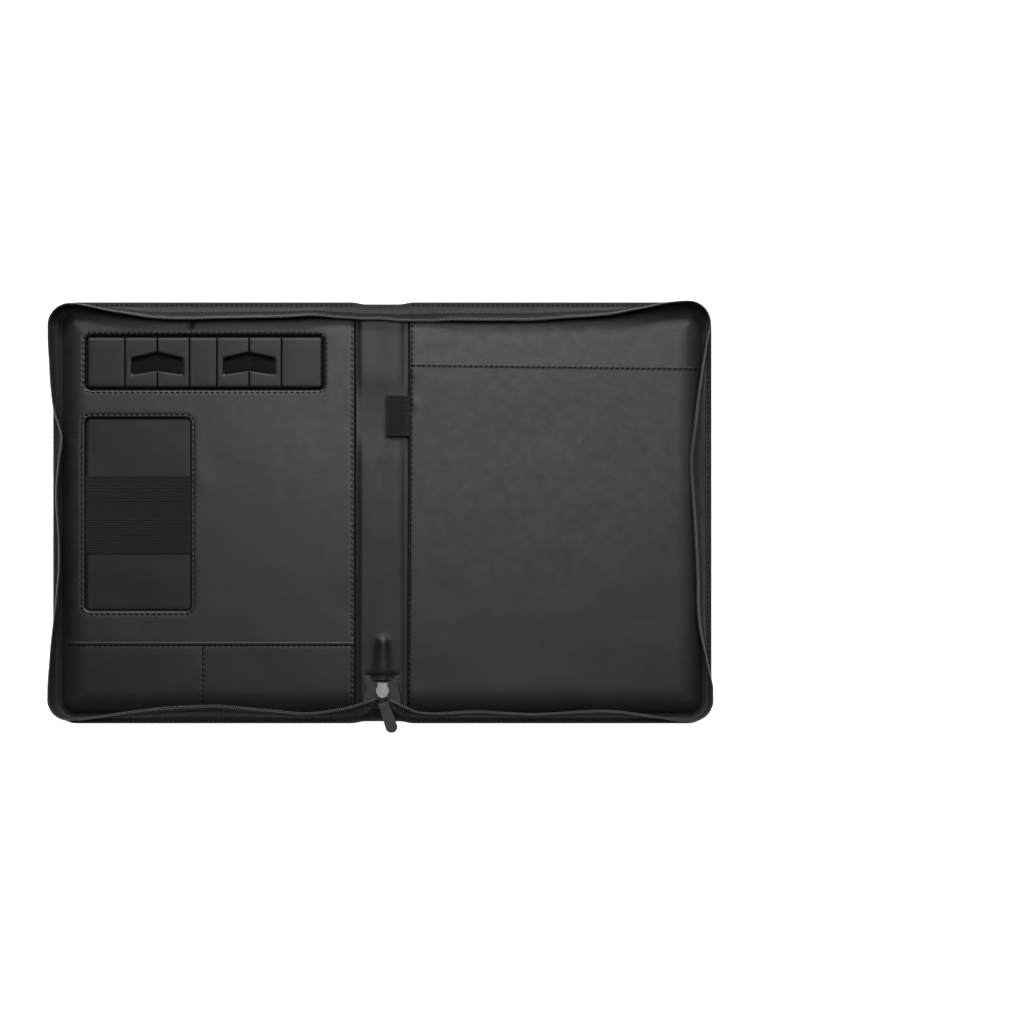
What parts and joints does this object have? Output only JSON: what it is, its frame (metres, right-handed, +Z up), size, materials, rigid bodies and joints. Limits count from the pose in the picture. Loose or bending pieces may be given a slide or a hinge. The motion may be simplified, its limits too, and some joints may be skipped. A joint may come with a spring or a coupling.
{
  "type": "zip-round portfolio case",
  "caption": "Zip-round folio case, open flat: two padded covers joined by a spine, with pockets, folding stand, elastic band and pen loop.",
  "frame": {"origin": "on the resting surface, under the middle of the spine", "axes": "+X from the spine towards the right cover's fore-edge, +Y towards the top edge, +Z up out of the open case"},
  "size_m": [0.556, 0.3632, 0.0213],
  "materials": {
    "outer_leatherette": "matt black grained polyurethane leatherette",
    "lining_leatherette": "matt dark grey smooth polyurethane leatherette with fine grain",
    "board": "raw grey-brown board, hidden inside",
    "backing_cloth": "near-black brushed loop cloth",
    "webbing": "matt black woven polyester",
    "zip_tape": "matt black fine-ribbed zip tape",
    "zip_coil": "black nylon coil with grey sheen",
    "elastic": "matt black ribbed elastic",
    "light_metal": "satin light grey lacquered zinc",
    "dark_metal": "black enamelled zinc",
    "puller_rubber": "matt dark grey moulded rubber"
  },
  "bodies": {
    "right_half": {"outer_cover_right": "outer_leatherette", "cover_board_right": "board", "inner_panel_right": "lining_leatherette", "pad_pocket": "lining_leatherette", "zip_gusset_right": "webbing", "zip_tape_right": "zip_tape", "zip_coil_right": "zip_coil"},
    "pen_loop": {"pen_loop": "elastic"},
    "spine": {"outer_spine": "outer_leatherette", "spine_stiffener": "board", "spine_lining": "lining_leatherette", "spine_gusset_top": "webbing", "spine_tape_top": "zip_tape", "spine_coil_top": "zip_coil", "spine_gusset_bottom": "webbing", "zip_end_flap": "lining_leatherette", "zip_tail": "lining_leatherette", "spine_coil_bottom_left": "zip_coil", "spine_coil_bottom_right": "zip_coil"},
    "slider": {"slider_body": "dark_metal", "slider_cap": "light_metal"},
    "puller": {"puller_link": "dark_metal", "puller_tab": "puller_rubber"},
    "left_half": {"outer_cover_left": "outer_leatherette", "cover_board_left": "board", "inner_panel_left": "lining_leatherette", "stand_recess_floor": "backing_cloth", "phone_recess_floor": "lining_leatherette", "phone_elastic": "elastic", "card_pocket": "lining_leatherette", "zip_gusset_left": "webbing", "zip_tape_left": "zip_tape", "zip_coil_left": "zip_coil", "stand_fixed_end": "lining_leatherette"},
    "stand_leg_1a": {"stand_leg_1a": "lining_leatherette"},
    "stand_leg_1b": {"stand_leg_1b": "lining_leatherette"},
    "stand_bridge": {"stand_bridge": "lining_leatherette"},
    "stand_leg_2a": {"stand_leg_2a": "lining_leatherette"},
    "stand_leg_2b": {"stand_leg_2b": "lining_leatherette"},
    "stand_sliding_end": {"stand_sliding_end": "lining_leatherette"}
  },
  "joints": [
    {"name": "spine_fold", "type": "hinge", "parent": "right_half", "child": "spine", "pos_m": [0.021, 0, 0.0006], "axis": [0, 1, 0], "range_deg": [0, 90]},
    {"name": "cover_fold", "type": "hinge", "parent": "spine", "child": "left_half", "pos_m": [-0.021, 0, 0.0006], "axis": [0, 1, 0], "range_deg": [0, 90]},
    {"name": "pen_loop_swing", "type": "hinge", "parent": "right_half", "child": "pen_loop", "pos_m": [0.0234, 0.0811, 0.0079], "axis": [0, 1, 0], "range_deg": [0, 90]},
    {"name": "zip_slide", "type": "slide", "parent": "spine", "child": "slider", "axis": [0, -0.9842, 0.1772], "range_m": [0, 0.005]},
    {"name": "puller_swing", "type": "hinge", "parent": "slider", "child": "puller", "pos_m": [0.00085, -0.15738, 0.01252], "axis": [-1, 0, 0], "range_deg": [0, 120]},
    {"name": "stand_fold", "type": "hinge", "parent": "left_half", "child": "stand_leg_1a", "pos_m": [-0.2163, 0.12615, 0.0071], "axis": [0, -1, 0], "range_deg": [0, 50]},
    {"name": "stand_apex_1", "type": "hinge", "parent": "stand_leg_1a", "child": "stand_leg_1b", "pos_m": [-0.1891, 0.12615, 0.0046], "axis": [0, 1, 0], "range_deg": [0, 100]},
    {"name": "stand_foot_1", "type": "hinge", "parent": "stand_leg_1b", "child": "stand_bridge", "pos_m": [-0.1619, 0.12615, 0.0071], "axis": [0, -1, 0], "range_deg": [0, 50]},
    {"name": "stand_foot_2", "type": "hinge", "parent": "stand_bridge", "child": "stand_leg_2a", "pos_m": [-0.1389, 0.12615, 0.0071], "axis": [0, -1, 0], "range_deg": [0, 50]},
    {"name": "stand_apex_2", "type": "hinge", "parent": "stand_leg_2a", "child": "stand_leg_2b", "pos_m": [-0.1117, 0.12615, 0.0046], "axis": [0, 1, 0], "range_deg": [0, 100]},
    {"name": "stand_foot_3", "type": "hinge", "parent": "stand_leg_2b", "child": "stand_sliding_end", "pos_m": [-0.0845, 0.12615, 0.0071], "axis": [0, -1, 0], "range_deg": [0, 50]}
  ],
  "couplings": [
    {"joint": "pen_loop_swing", "follows": "spine_fold", "ratio": 1},
    {"joint": "stand_apex_1", "follows": "stand_fold", "ratio": 2},
    {"joint": "stand_foot_1", "follows": "stand_fold", "ratio": 1},
    {"joint": "stand_foot_2", "follows": "stand_fold", "ratio": 1},
    {"joint": "stand_apex_2", "follows": "stand_fold", "ratio": 2},
    {"joint": "stand_foot_3", "follows": "stand_fold", "ratio": 1}
  ]
}
